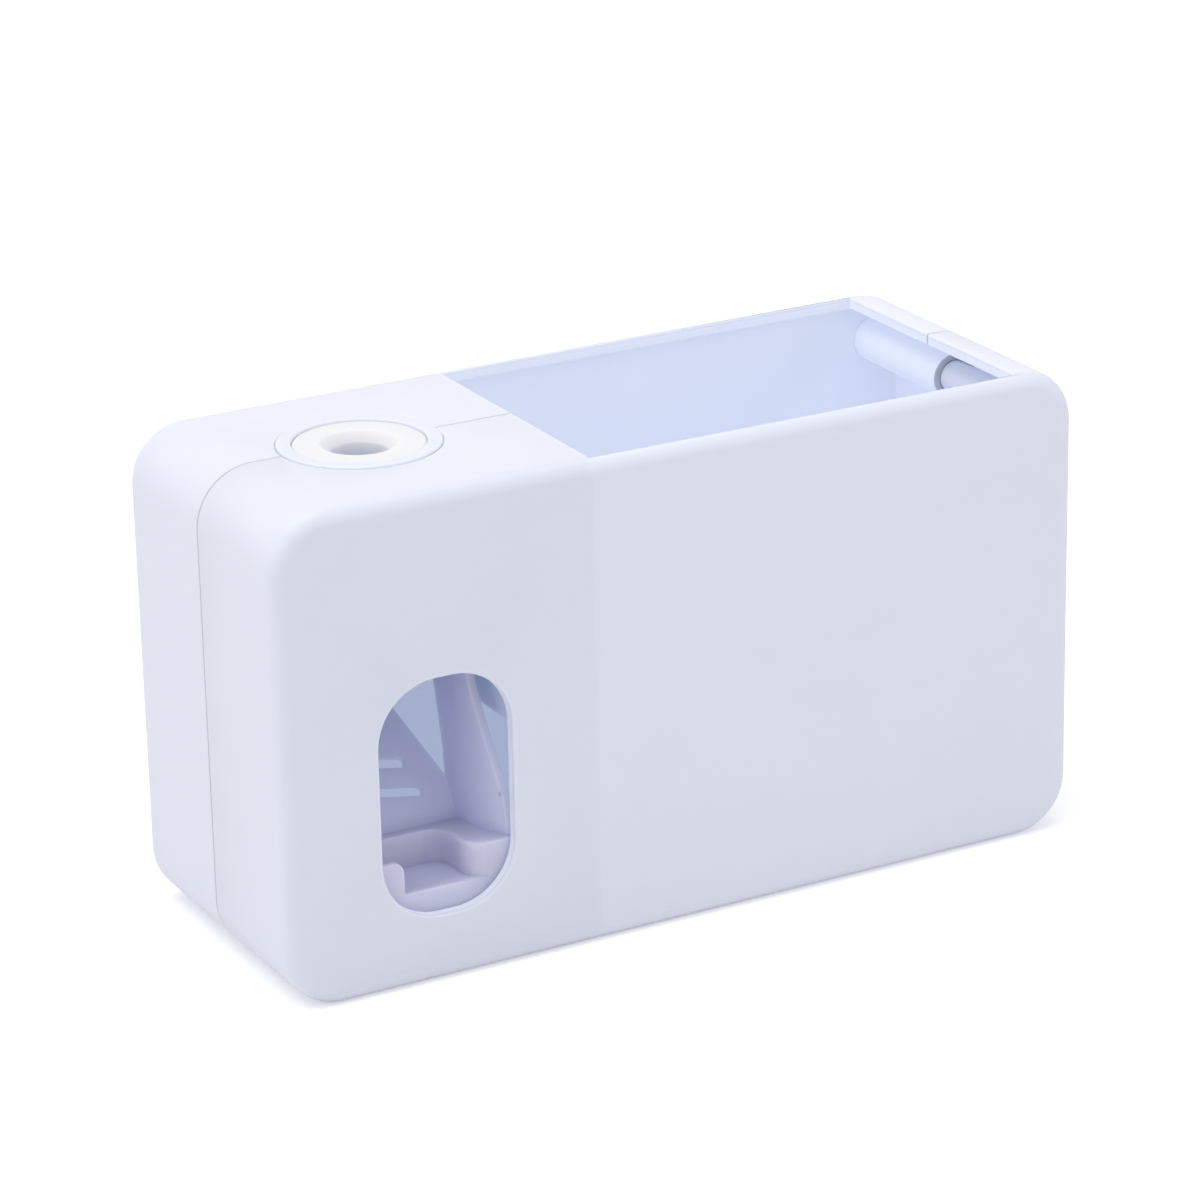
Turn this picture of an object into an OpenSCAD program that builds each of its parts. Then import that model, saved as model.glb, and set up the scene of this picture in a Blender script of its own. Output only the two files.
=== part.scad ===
// Counter-top toothpaste dispenser with a brush and tube bin.
// A brush head pushed in at the oval port swings the lever back, and the lever's roller
// squeezes the silicone hose, which drops paste on the bristles.
// The origin is under the middle of the case. X runs along the case, -Y is its front.

/* [Case] */
// Length of the case
case_w = 160; // [140:1:190]
// Depth of the case, front to back
case_d = 60; // [56:1:80]
// Height of the case
case_h = 90; // [86:1:120]
// Radius of the four long corners
corner_r = 10.5; // [7:0.5:14]
// Radius of the edge round the front and back faces
edge_r = 3; // [2.4:0.1:4]
// Wall of both half shells
wall = 2; // [1.6:0.1:2.3]
// Open seam between the two half shells
seam = 0.1; // [0.05:0.05:0.2]
// Depth of the sink mark that the divider leaves on the front
sink_depth = 0.12; // [0.04:0.02:0.2]

/* [Storage bin] */
// Place of the divider's middle, from the middle of the case
divider_x = -19.8; // [-24:0.2:-16]
// Thickness of the divider
divider_t = 1.6; // [1.2:0.1:2.4]
// Top strip left beside the bin, measured from the end of the case
bin_end = 12.5; // [11:0.5:20]
// Top strip left behind the bin
bin_back = 2.7; // [2.4:0.1:6]

/* [Brush port] */
// Distance from the left end of the case to the middle of port and inlet
pump_from_end = 31.2; // [30.6:0.2:33]
// Width of the oval port
port_w = 25.6; // [20:0.2:26]
// Height of the oval port
port_h = 43.8; // [36:0.2:46]
// Radius of the port's corners
port_r = 11.2; // [6:0.2:12]
// Height of the port's middle above the base
port_z = 34.5; // [34:0.1:36]

/* [Inlet] */
// Outer radius of the collar in the top
collar_r = 14.5; // [13.5:0.1:15]
// Radius of the silicone grommet's disc
grommet_r = 11.75; // [10.5:0.05:12.2]
// Radius of the grommet's bore, which grips a tube's neck
inlet_bore_r = 5.2; // [4.6:0.1:6]
// Radius of the flared mouth above the bore
inlet_mouth_r = 6.8; // [5.5:0.1:8]

/* [Lever] */
// Clear width between the two arms
arm_gap = 18.6; // [17.6:0.2:19]
// Thickness of the arms, the walls and the apron
arm_t = 1.6; // [1.2:0.1:1.8]
// Height of the cradle's floor above the base
cradle_floor = 16.8; // [16:0.1:19]
// Height of the lever's deck above the base
deck_z = 23; // [21:0.1:24]
// Radius of the pivot pin
pivot_r = 1.5; // [1.2:0.1:1.8]
// Slope of the apron behind the cradle
apron_angle = 51.7; // [48:0.1:54]
// Fall of the apron's two slots towards the bin
slot_tilt = 10; // [0:1:15]
// Thickness of the thin lip in front of the cradle
lip_t = 1.4; // [1.2:0.1:2]

/* [Pump] */
// Outer radius of the squeezed part of the hose
hose_r = 6.5; // [5.5:0.1:6.8]
// Wall of the hose
hose_wall = 1.1; // [0.8:0.1:1.5]
// Radius of the press roller
roller_r = 3.2; // [2.6:0.1:3.6]
// Wire of the two return springs
spring_wire = 0.7; // [0.5:0.05:0.8]
// Turns in each return spring
spring_turns = 2.5; // [1.5:1:2.5]

/* [Fixings] */
// Radius of the posts that hold the front shell
post_r = 3; // [2.6:0.1:3.4]
// Radius of the sockets on the rear shell that take the posts
socket_r = 4.3; // [4.2:0.1:4.6]
// Radius of the case screws' shank
screw_r = 1.4; // [1:0.1:1.5]

/* [Hidden] */
$fn = 64;

// Clearances: between fixed pieces, of a shaft in its bore, and of pieces that pass by
fit = 0.15;
shaft_fit = 0.05;
pass = 0.3;
// Lets a cutter run past the face it opens
over = 1;

white = [0.93, 0.94, 0.98];
lilac = [0.78, 0.78, 0.90];
silicone = [0.95, 0.95, 0.96];
steel = [0.72, 0.73, 0.75];

// The middle plane of lever, pump and inlet
pump_x = pump_from_end - case_w / 2;
front_in = -case_d / 2 + wall;
back_in = case_d / 2 - wall;
top_in = case_h - wall;

// Tongue of the seam, which takes the inner half of the wall
tongue_t = wall * 0.45;
tongue_len = 1.5;

// Corner fixings of the case
fixing_turn = 20;
fixing_out = max(corner_r - wall - socket_r - 0.1, 0);
fixing_x = case_w / 2 - corner_r + fixing_out * cos(fixing_turn);
fixing_z = case_h / 2 - corner_r + fixing_out * sin(fixing_turn);
rib_t = 1.6;
post_reach = 4;
screw_seat = post_reach + 4;
screw_grip = 12;
screw_head_r = 2.7;
screw_head_h = 2;

// Stack of pieces under the inlet, from the top down
collar_proud = 0.3;
flange_r = collar_r + 2;
flange_t = 2;
ledge_t = 1.5;
flange_top = top_in - fit;
flange_z = flange_top - flange_t;
grommet_sink = 0.35;
grommet_neck_r = 8.9;
mouth_depth = 1.8;
frame_t = 2;
frame_top = flange_z - fit - 0.1;
spigot_bore_r = 4.6;
spigot_r = spigot_bore_r + 1;
spigot_len = 7.6;
neck_r = spigot_r + 1.6;

// Pivot, roller and hose
pivot_y = -10.5;
pivot_z = case_h - 12;
boss_r = 4.5;
roller_z = pivot_z - 14;
roller_y = -hose_r - pass - roller_r;
roller_pin_r = 1;
pin_end = 1.6;
groove_r = pivot_r - 0.35;
groove_half = 0.4;
groove_x = 0.6;
pin_clip_r = 3.2;
pin_clip_half = 0.3;
pin_clip_gap = 1.8;
chamber_top = pivot_z - 3.4;
chamber_low = chamber_top - 12.8;
hose_shoulder = 0.4;
hose_taper = 1.8;
low_neck_len = 4.2;
spigot_end = frame_top - frame_t - spigot_len;

// Outlet
outlet_z = chamber_low - 7.2;
outlet_tube_r = 2.4;
outlet_bore_r = 1.6;
rise_bore_r = 1.75;
outlet_y = -14.5;
low_spigot_r = 2.95;
low_neck_r = 4.6;
nozzle_r = 3;
cap_r = 3.9;
nozzle_z = outlet_z - outlet_tube_r - 0.4;
valve_t = 0.6;
rim_z = nozzle_z - fit - valve_t;
lip_len = 2;
lip_r = 1.8;
cap_lip_t = 0.6;
hose_clip_t = 1.2;
hose_clip_h = 2.4;
low_clip_h = 2;

// Frame that carries the pump
cheek_in = 15.2;
cheek_t = 2;
cheek_out = cheek_in + cheek_t;
cheek_low = deck_z + 20;
cheek_front = front_in + 2;
anvil_y = hose_r + pass;
anvil_t = 2.2;
anvil_back = anvil_y + anvil_t;
frame_screw_x = cheek_in - 2.4;
frame_screw_zs = [cheek_low + 4.5, frame_top - 6];
frame_post_blind = 3;
small_screw_r = 1;
frame_screw_grip = 10;
frame_screw_head_r = 2.1;
frame_screw_head_h = 1.5;
elbow_screw_head_r = 1.8;
elbow_screw_head_h = 1.2;
apron_way_half = 8;
neck_way_half = 9.6;
ear_t = 2;
ear_half = 9;
ear_h = 5.2;
ear_screw_x = 6.5;

// Lever, as seen from above: a horseshoe cradle between two arms that flare to the front
lever_front = front_in + pass;
arm_in = arm_gap / 2;
arm_out = arm_in + arm_t;
flare_r = 24;
flare_y = -14;
lever_low = 10;
base_half = 24;
under_t = 1.8;
cradle_back = -17.2;
cradle_corner_r = 4;
cradle_half = 4.8;
mouth_r = 4;
cradle_left = 8.4;
cradle_left_front = 11.9;
cradle_left_r = 1.5;
lip_edge = -7.7;
lip_round = 2.2;
apron_y = -15;
apron_half_low = arm_in + 0.1;
apron_tip_r = 3;
apron_len = 26.5;
apron_foot = 3;
apron_sides = 8;
slot_h = 2;
// Place up the apron and half length of each slot
slots = [[6.1, 4.4], [11.8, 2.8]];

// Return springs and the pegs that their legs bear on
spring_r = 2.6;
spring_sides = 8;
spring_rings = 20;
spring_pitch = 1.2;
spring_start = arm_out + pass + spring_wire / 2;
leg_len = 6;
peg_r = 0.8;
peg_root = 0.4;
peg_y = spring_r + spring_wire / 2 + shaft_fit + peg_r;
peg_z = -5;
peg_over = spring_wire + pass + 0.2;

// Square with round corners, about its middle
module round_rect(w, h, r) {
    square([w - 2 * r, h], center = true);
    square([w, h - 2 * r], center = true);
    for (x = [-1, 1], y = [-1, 1])
        translate([x * (w / 2 - r), y * (h / 2 - r)])
            circle(r = r);
}

// Slot with round ends, about its middle
module slot(length, h) {
    square([length - h, h], center = true);
    for (x = [-1, 1])
        translate([x * (length - h) / 2, 0])
            circle(d = h);
}

// Slab with rolled long corners and a rounded edge round its two big faces
module soft_slab(w, d, h, r, e) {
    rotate([90, 0, 90])
        linear_extrude(w - 2 * r, center = true)
            round_rect(d, h, e);
    linear_extrude(h - 2 * r, center = true)
        round_rect(w, d, e);
    for (x = [-1, 1], z = [-1, 1])
        translate([x * (w / 2 - r), 0, z * (h / 2 - r)])
            rotate([90, 0, 0])
                rotate_extrude()
                    intersection() {
                        round_rect(2 * r, d, e);
                        translate([0, -d])
                            square([r + over, 2 * d]);
                    }
}

module case_outside() {
    translate([0, 0, case_h / 2])
        soft_slab(case_w, case_d, case_h, corner_r, edge_r);
}

module case_inside() {
    translate([0, 0, case_h / 2])
        soft_slab(case_w - 2 * wall, case_d - 2 * wall, case_h - 2 * wall,
                  corner_r - wall, max(edge_r - wall, 0.3));
}

// Everything in front of the seam (side -1) or behind it (side 1)
module half_space(side) {
    translate([-case_w, side > 0 ? seam / 2 : -case_d - seam / 2, -over])
        cube([2 * case_w, case_d, case_h + 2 * over]);
}

// Rod along Y from y0 to y1
module rod_y(r, y0, y1) {
    translate([0, y0, 0])
        rotate([-90, 0, 0])
            cylinder(r = r, h = y1 - y0);
}

// Rod along X from x0 to x1
module rod_x(r, x0, x1) {
    translate([x0, 0, 0])
        rotate([0, 90, 0])
            cylinder(r = r, h = x1 - x0);
}

module at_corner_fixings() {
    for (x = [-1, 1], z = [-1, 1])
        translate([x * fixing_x, 0, case_h / 2 + z * fixing_z])
            children();
}

module at_frame_screws() {
    for (x = [-1, 1], z = frame_screw_zs)
        translate([pump_x + x * frame_screw_x, 0, z])
            children();
}

// Walls that both halves share: hollow case, divider, bin mouth and inlet hole
module case_walls() {
    difference() {
        case_outside();
        difference() {
            case_inside();
            translate([divider_x - divider_t / 2, -case_d, -over])
                cube([divider_t, 2 * case_d, case_h + 2 * over]);
        }
        bin_mouth();
        translate([pump_x, 0, top_in - over])
            cylinder(r = collar_r + fit, h = wall + 2 * over);
    }
}

module bin_mouth() {
    x0 = divider_x + divider_t / 2;
    translate([x0, front_in, top_in - over])
        cube([case_w / 2 - bin_end - x0, case_d / 2 - bin_back - front_in, wall + 2 * over]);
}

// Inner part of the wall along the seam: the tongue, or its groove when grown
module seam_ring(grow, y0, y1) {
    outer = wall - tongue_t - grow;
    translate([0, y1, case_h / 2])
        rotate([90, 0, 0])
            linear_extrude(y1 - y0)
                difference() {
                    round_rect(case_w - 2 * outer, case_h - 2 * outer, corner_r - outer);
                    round_rect(case_w - 2 * wall - 2 * grow, case_h - 2 * wall - 2 * grow,
                               corner_r - wall - grow);
                }
}

// Shallow hollow on the front along the divider
module sink_mark() {
    mark_r = 3;
    translate([divider_x, -case_d / 2 - mark_r + sink_depth, edge_r])
        cylinder(r = mark_r, h = case_h - 2 * edge_r);
}

module brush_port() {
    translate([pump_x, -case_d / 2 - over, port_z])
        rotate([-90, 0, 0])
            linear_extrude(wall + 2 * over)
                round_rect(port_w, port_h, port_r);
}

// Front half of the case, with the four posts that reach into the rear sockets
module front_shell() {
    color(white)
        difference() {
            union() {
                intersection() {
                    case_walls();
                    half_space(-1);
                }
                at_corner_fixings() rod_y(post_r, front_in - wall / 2, post_reach);
            }
            brush_port();
            sink_mark();
            seam_ring(shaft_fit, -tongue_len - shaft_fit, over);
            at_corner_fixings() rod_y(screw_r - shaft_fit, front_in + 10, post_reach + over);
        }
}

// Rear half of the case, with screw sockets, frame posts and the tongue of the seam
module rear_shell() {
    color(white)
        difference() {
            union() {
                intersection() {
                    case_walls();
                    half_space(1);
                }
                difference() {
                    seam_ring(0, -tongue_len, seam);
                    bin_mouth();
                    translate([pump_x, 0, top_in - over])
                        cylinder(r = collar_r + fit, h = wall + 2 * over);
                }
                at_corner_fixings() rod_y(socket_r, seam / 2, back_in + wall / 2);
                for (x = [-1, 1], z = [-1, 1])
                    translate([x * fixing_x + (x > 0 ? 0 : -socket_r - 1), 1,
                               case_h / 2 + z * fixing_z - rib_t / 2])
                        cube([socket_r + 1, back_in, rib_t]);
                at_frame_screws() rod_y(post_r, anvil_back, back_in + wall / 2);
            }
            at_corner_fixings() {
                rod_y(post_r + shaft_fit, -over, post_reach);
                rod_y(screw_r + fit, 0, screw_seat + over);
                rod_y(screw_head_r + 0.4, screw_seat, case_d / 2 + over);
            }
            at_frame_screws() rod_y(small_screw_r, anvil_back - over, back_in - frame_post_blind);
        }
}

// Round-headed screw along Y: its head at +Y, the shank's tip towards -Y
module screw(shank_r, length, head_r, head_h, seat_y) {
    difference() {
        union() {
            rod_y(shank_r, seat_y - length, seat_y + head_h / 2);
            rod_y(head_r, seat_y, seat_y + head_h);
        }
        for (a = [0, 90])
            translate([0, seat_y + head_h, 0])
                rotate([0, a, 0])
                    cube([head_r, head_h, head_h * 0.3], center = true);
    }
}

module shell_screws() {
    color(steel)
        at_corner_fixings()
            screw(screw_r - 2 * shaft_fit, screw_seat + screw_grip, screw_head_r, screw_head_h,
                  screw_seat);
}

// Ring in the top: a flange under the case, and a ledge that carries the grommet
module inlet_collar() {
    color(lilac)
        translate([pump_x, 0, 0])
            difference() {
                union() {
                    translate([0, 0, flange_z])
                        cylinder(r = flange_r, h = flange_t);
                    translate([0, 0, flange_z])
                        cylinder(r = collar_r, h = case_h + collar_proud - flange_z);
                }
                translate([0, 0, flange_z - over])
                    cylinder(r = grommet_neck_r + 0.1, h = case_h);
                translate([0, 0, flange_z + ledge_t])
                    cylinder(r = grommet_r + 0.1, h = case_h);
            }
}

// Silicone grommet: a disc with a flared mouth over a bore that grips the tube's neck
module inlet_grommet() {
    top = case_h + collar_proud - grommet_sink;
    disc_z = flange_z + ledge_t + 0.05;
    color(silicone)
        translate([pump_x, 0, 0])
            difference() {
                union() {
                    translate([0, 0, disc_z])
                        cylinder(r = grommet_r, h = top - disc_z);
                    translate([0, 0, frame_top + fit])
                        cylinder(r = grommet_neck_r, h = top - frame_top - 1);
                }
                translate([0, 0, frame_top])
                    cylinder(r = inlet_bore_r, h = case_h);
                translate([0, 0, top - mouth_depth])
                    cylinder(r1 = inlet_bore_r, r2 = inlet_mouth_r, h = mouth_depth);
                translate([0, 0, top - 0.01])
                    cylinder(r = inlet_mouth_r, h = over);
            }
}

// Frame inside the case: two cheeks, the anvil behind the hose and the hose spigot
module pump_frame() {
    side_len = anvil_back - cheek_front;
    color(lilac)
        translate([pump_x, 0, 0])
            difference() {
                union() {
                    for (x = [-1, 1])
                        translate([x * (cheek_in + cheek_t / 2) - cheek_t / 2, cheek_front, cheek_low])
                            cube([cheek_t, side_len, frame_top - cheek_low]);
                    translate([-cheek_out, anvil_y, cheek_low])
                        cube([2 * cheek_out, anvil_t, frame_top - cheek_low]);
                    translate([-cheek_out, cheek_front, frame_top - frame_t])
                        cube([2 * cheek_out, side_len, frame_t]);
                    translate([0, 0, spigot_end])
                        cylinder(r = spigot_r, h = frame_top - frame_t / 2 - spigot_end);
                    for (side = [-1, 1])
                        translate([side * (cheek_in - peg_over / 2), pivot_y + peg_y, pivot_z + peg_z])
                            rod_x(peg_r, -peg_over / 2 - (side < 0 ? peg_root : 0),
                                  peg_over / 2 + (side > 0 ? peg_root : 0));
                }
                // Way for the apron under the anvil, and for the hose neck and clip above it
                translate([-apron_way_half, anvil_y - over, cheek_low - over])
                    cube([2 * apron_way_half, anvil_t + 2 * over,
                          outlet_z - ear_h / 2 - pass - 0.5 - cheek_low + over]);
                translate([-neck_way_half, anvil_y - over, spigot_end - 1])
                    cube([2 * neck_way_half, anvil_t + 2 * over, frame_top - frame_t - spigot_end + 1]);
                translate([0, 0, spigot_end - over])
                    cylinder(r = spigot_bore_r, h = case_h);
                translate([0, pivot_y, pivot_z])
                    rod_x(pivot_r + 0.02, -cheek_out - over, cheek_out + over);
                for (x = [-1, 1], z = frame_screw_zs)
                    translate([x * frame_screw_x, 0, z])
                        rod_y(small_screw_r + 0.2, anvil_y - over, anvil_back + over);
                for (x = [-1, 1])
                    translate([x * ear_screw_x, 0, outlet_z])
                        rod_y(small_screw_r - 0.1, anvil_y - over, anvil_back + over);
            }
}

// Screws whose heads press the frame on the rear shell's posts
module frame_screws() {
    color(steel)
        at_frame_screws()
            mirror([0, 1, 0])
                screw(small_screw_r - shaft_fit, anvil_t + frame_screw_grip, frame_screw_head_r,
                      frame_screw_head_h, -anvil_y);
}

// Silicone hose: a neck on the spigot, a round chamber and a small neck on the outlet
module pump_hose() {
    neck_in = spigot_r + shaft_fit;
    neck_top = frame_top - frame_t - 1;
    chamber_in = hose_r - hose_wall;
    low_in = low_spigot_r + shaft_fit;
    color(silicone)
        translate([pump_x, 0, 0])
            rotate_extrude()
                polygon([
                    [low_in, chamber_low - low_neck_len], [low_neck_r, chamber_low - low_neck_len],
                    [low_neck_r, chamber_low - 2 * hose_shoulder], [hose_r, chamber_low + hose_taper],
                    [hose_r, chamber_top - 2 * hose_shoulder], [neck_r, chamber_top + hose_shoulder],
                    [neck_r, neck_top], [neck_in, neck_top],
                    [neck_in, chamber_top + hose_shoulder], [chamber_in, chamber_top + hose_shoulder],
                    [chamber_in, chamber_low + hose_taper], [low_in, chamber_low - 0.2]
                ]);
}

// Spring bands round the two necks of the hose
module hose_clips() {
    color(steel)
        translate([pump_x, 0, 0]) {
            band(neck_r, pivot_z + 0.6, hose_clip_h);
            band(low_neck_r, chamber_low - low_neck_len + 0.4, low_clip_h);
        }
}

module band(r, z, h) {
    translate([0, 0, z])
        difference() {
            cylinder(r = r + hose_clip_t, h = h);
            translate([0, 0, -over])
                cylinder(r = r + shaft_fit, h = h + 2 * over);
        }
}

// Flap that lets paste into the chamber and shuts when the roller squeezes
module inlet_valve() {
    slit = 0.5;
    flap_r = 3.4;
    hinge_w = 3;
    color(silicone)
        translate([pump_x, 0, chamber_top + hose_shoulder + shaft_fit])
            difference() {
                cylinder(r = spigot_r - shaft_fit, h = valve_t);
                difference() {
                    translate([0, 0, -over])
                        cylinder(r = flap_r + slit, h = valve_t + 2 * over);
                    translate([0, 0, -2 * over])
                        cylinder(r = flap_r, h = valve_t + 4 * over);
                    translate([-hinge_w / 2, -spigot_r, -2 * over])
                        cube([hinge_w, spigot_r, valve_t + 4 * over]);
                }
            }
}

// Elbow that takes the paste from the hose forward and down over the brush
module outlet_elbow() {
    color(lilac)
        translate([pump_x, 0, 0])
            difference() {
                union() {
                    translate([0, 0, outlet_z])
                        rod_y(outlet_tube_r, outlet_y, anvil_y - pass);
                    translate([0, 0, outlet_z])
                        cylinder(r = low_spigot_r, h = chamber_low - 1 - outlet_z);
                    translate([0, outlet_y, nozzle_z])
                        cylinder(r = nozzle_r, h = outlet_z + outlet_tube_r + 0.6 - nozzle_z);
                    translate([-ear_half, anvil_y - fit - ear_t, outlet_z - ear_h / 2])
                        cube([2 * ear_half, ear_t, ear_h]);
                }
                translate([0, 0, outlet_z])
                    rod_y(outlet_bore_r, outlet_y, 0);
                translate([0, 0, outlet_z])
                    cylinder(r = rise_bore_r, h = case_h);
                translate([0, outlet_y, nozzle_z - over])
                    cylinder(r = rise_bore_r, h = outlet_z - nozzle_z + over);
                for (x = [-1, 1])
                    translate([x * ear_screw_x, 0, outlet_z])
                        rod_y(small_screw_r + 0.1, 0, anvil_y);
            }
}

// Two small screws through the elbow's ear into the anvil
module elbow_screws() {
    color(steel)
        for (x = [-1, 1])
            translate([pump_x + x * ear_screw_x, 0, outlet_z])
                mirror([0, 1, 0])
                    screw(small_screw_r - 0.15, ear_t + anvil_t + fit, elbow_screw_head_r,
                          elbow_screw_head_h, -(anvil_y - fit - ear_t));
}

// Duckbill of the outlet: a round rim and two lips that close to a slit
module outlet_valve() {
    color(silicone)
        translate([pump_x, outlet_y, 0])
            difference() {
                union() {
                    translate([0, 0, rim_z])
                        cylinder(r = nozzle_r, h = valve_t);
                    translate([0, 0, rim_z - lip_len])
                        intersection() {
                            cylinder(r = lip_r, h = lip_len + valve_t);
                            rotate([90, 0, 0])
                                linear_extrude(6, center = true)
                                    polygon([[-0.6, 0], [0.6, 0], [lip_r, lip_len],
                                             [lip_r, lip_len + valve_t],
                                             [-lip_r, lip_len + valve_t], [-lip_r, lip_len]]);
                        }
                }
                translate([0, 0, rim_z - lip_len + 0.8])
                    rotate([90, 0, 0])
                        linear_extrude(2.4, center = true)
                            polygon([[-0.1, 0], [0.1, 0], [1.1, lip_len],
                                     [1.1, lip_len + over], [-1.1, lip_len + over], [-1.1, lip_len]]);
                translate([0, 0, rim_z - lip_len / 2])
                    cube([0.2, 2.4, lip_len + 2 * over], center = true);
            }
}

// Cap that holds the duckbill on the nozzle
module nozzle_cap() {
    cap_z = rim_z - cap_lip_t - shaft_fit;
    color(lilac)
        translate([pump_x, outlet_y, cap_z])
            difference() {
                cylinder(r = cap_r, h = outlet_z - 0.6 - cap_z);
                translate([0, 0, -over])
                    cylinder(r = lip_r + 0.2, h = case_h);
                translate([0, 0, cap_lip_t])
                    cylinder(r = nozzle_r + shaft_fit, h = case_h);
                translate([0, 0, outlet_z - cap_z])
                    rotate([-90, 0, 0])
                        cylinder(r = outlet_tube_r + fit, h = case_d);
            }
}

// Ring between two radii about the flare's centre on one side of the lever
module flare_disc(side, r) {
    translate([side * (arm_in + flare_r), flare_y])
        circle(r = r, $fn = 128);
}

// Outline of the lever's base from above, narrowing from the flared front to the arms
module base_outline(grow) {
    difference() {
        translate([-base_half, lever_front - grow])
            square([2 * base_half, apron_y + 2 * arm_t - lever_front + 2 * grow]);
        for (side = [-1, 1]) {
            flare_disc(side, flare_r - arm_t - grow);
            translate([side > 0 ? arm_out + grow : -base_half - arm_out - grow, flare_y])
                square(base_half);
        }
    }
}

// Points of an arc from angle a0 to a1 about c
function arc(c, r, a0, a1, steps = 10) =
    [for (i = [0 : steps]) c + r * [cos(a0 + (a1 - a0) * i / steps), sin(a0 + (a1 - a0) * i / steps)]];

// Point at t on a curve from a to d that b and c pull
function bend(a, b, c, d, t) =
    pow(1 - t, 3) * a + 3 * pow(1 - t, 2) * t * b + 3 * (1 - t) * t * t * c + pow(t, 3) * d;

// Cradle for the brush head from above: a rolled mouth towards the bin, and at the other end
// straight on behind the lip
module cradle_outline(grow) {
    front = lever_front - over;
    polygon([
        [-cradle_left_front - grow, front],
        [-cradle_left - grow, cradle_back - cradle_left_r],
        each arc([-cradle_left + cradle_left_r, cradle_back - cradle_left_r],
                 cradle_left_r + grow, 150, 90, 4),
        each arc([cradle_half - cradle_corner_r, cradle_back - cradle_corner_r],
                 cradle_corner_r + grow, 90, 0),
        each arc([cradle_half + mouth_r, lever_front + mouth_r], mouth_r - grow, 180, 270),
        [cradle_half + mouth_r, front]
    ]);
}

// Thin lip in front of the cradle's hidden end, its free corner rounded
module lip() {
    translate([0, lever_front + lip_t, 0])
        rotate([90, 0, 0])
            linear_extrude(lip_t)
                polygon([
                    [-cradle_left_front - under_t, lever_low], [lip_edge, lever_low],
                    each arc([lip_edge - lip_round, deck_z - lip_round], lip_round, 0, 90),
                    [-cradle_left_front - under_t, deck_z]
                ]);
}

// The two arms from above, without their ends
module arm_plan() {
    for (side = [-1, 1]) {
        intersection() {
            difference() {
                flare_disc(side, flare_r);
                flare_disc(side, flare_r - arm_t);
            }
            translate([side > 0 ? 0 : -base_half, lever_front])
                square([base_half, flare_y - lever_front]);
        }
        translate([side > 0 ? arm_in : -arm_out, flare_y])
            square([arm_t, case_d / 2 - flare_y]);
    }
}

// The arms from the side: wide at the base, with a curved front edge up to the pivot boss
module arm_side() {
    foot = [-26.6, deck_z - over];
    top = [pivot_y - boss_r, pivot_z - over];
    polygon([
        for (i = [0 : 16]) bend(foot, [-27, deck_z + 15.1], [-14.8, deck_z + 25.3], top, i / 16),
        [pivot_y + boss_r, pivot_z], [pivot_y + boss_r + 1.6, pivot_z - 8],
        [-6.9, deck_z + 22.5], [-9.5, deck_z + 11.8], [-10.1, deck_z + 6.2],
        [apron_y, deck_z - over]
    ]);
    translate([pivot_y, pivot_z])
        circle(r = boss_r);
}

// Reclined apron behind the cradle, narrowing to a round tip, with two slots
module apron() {
    tip = apron_len - apron_tip_r;
    translate([0, apron_y, deck_z])
        rotate([apron_angle, 0, 0])
            translate([0, 0, -arm_t])
                linear_extrude(arm_t)
                    difference() {
                        polygon([
                            [-apron_half_low, -apron_foot], [apron_half_low, -apron_foot],
                            [apron_half_low, apron_sides],
                            each arc([0, tip], apron_tip_r, 30, 150),
                            [-apron_half_low, apron_sides]
                        ]);
                        for (s = slots)
                            translate([s[1], s[0]])
                                rotate(-slot_tilt)
                                    translate([-s[1], 0])
                                        slot(2 * s[1], slot_h);
                    }
}

// Lever that the brush pushes: cradle, deck, apron and two arms up to the pivot
module push_lever() {
    color(lilac)
        translate([pump_x, 0, 0]) {
            difference() {
                union() {
                    lever_base();
                    intersection() {
                        translate([0, 0, deck_z - over])
                            linear_extrude(case_h)
                                arm_plan();
                        rotate([90, 0, 90])
                            linear_extrude(2 * base_half, center = true)
                                arm_side();
                    }
                    apron();
                    for (side = [-1, 1])
                        translate([side * (arm_out + peg_over / 2), pivot_y - peg_y, pivot_z + peg_z])
                            rod_x(peg_r, -peg_over / 2 - (side > 0 ? peg_root : 0),
                                  peg_over / 2 + (side < 0 ? peg_root : 0));
                }
                translate([0, 0, cradle_floor])
                    linear_extrude(case_h)
                        cradle_outline(0);
                translate([0, pivot_y, pivot_z])
                    rod_x(pivot_r + shaft_fit, -base_half, base_half);
                translate([0, roller_y, roller_z])
                    rod_x(roller_pin_r + 0.02, -base_half, base_half);
            }
            lip();
        }
}

// Base of the lever, hollow from below but for the cradle's floor and walls
module lever_base() {
    difference() {
        translate([0, 0, lever_low])
            linear_extrude(deck_z - lever_low)
                base_outline(0);
        translate([0, 0, lever_low - over])
            linear_extrude(deck_z - under_t - lever_low + over)
                difference() {
                    base_outline(-under_t);
                    cradle_outline(under_t);
                }
        translate([0, 0, lever_low - over])
            linear_extrude(cradle_floor - under_t - lever_low + over)
                intersection() {
                    base_outline(-under_t);
                    cradle_outline(under_t);
                }
    }
}

// Steel pin that the lever swings on, grooved for its two clips
module pivot_pin() {
    color(steel)
        translate([pump_x, pivot_y, pivot_z])
            difference() {
                rod_x(pivot_r, -cheek_out - pin_end, cheek_out + pin_end);
                for (x = [-1, 1])
                    translate([x * (cheek_out + groove_x), 0, 0])
                        difference() {
                            rod_x(pivot_r + over, -groove_half, groove_half);
                            rod_x(groove_r, -over, over);
                        }
            }
}

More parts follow.
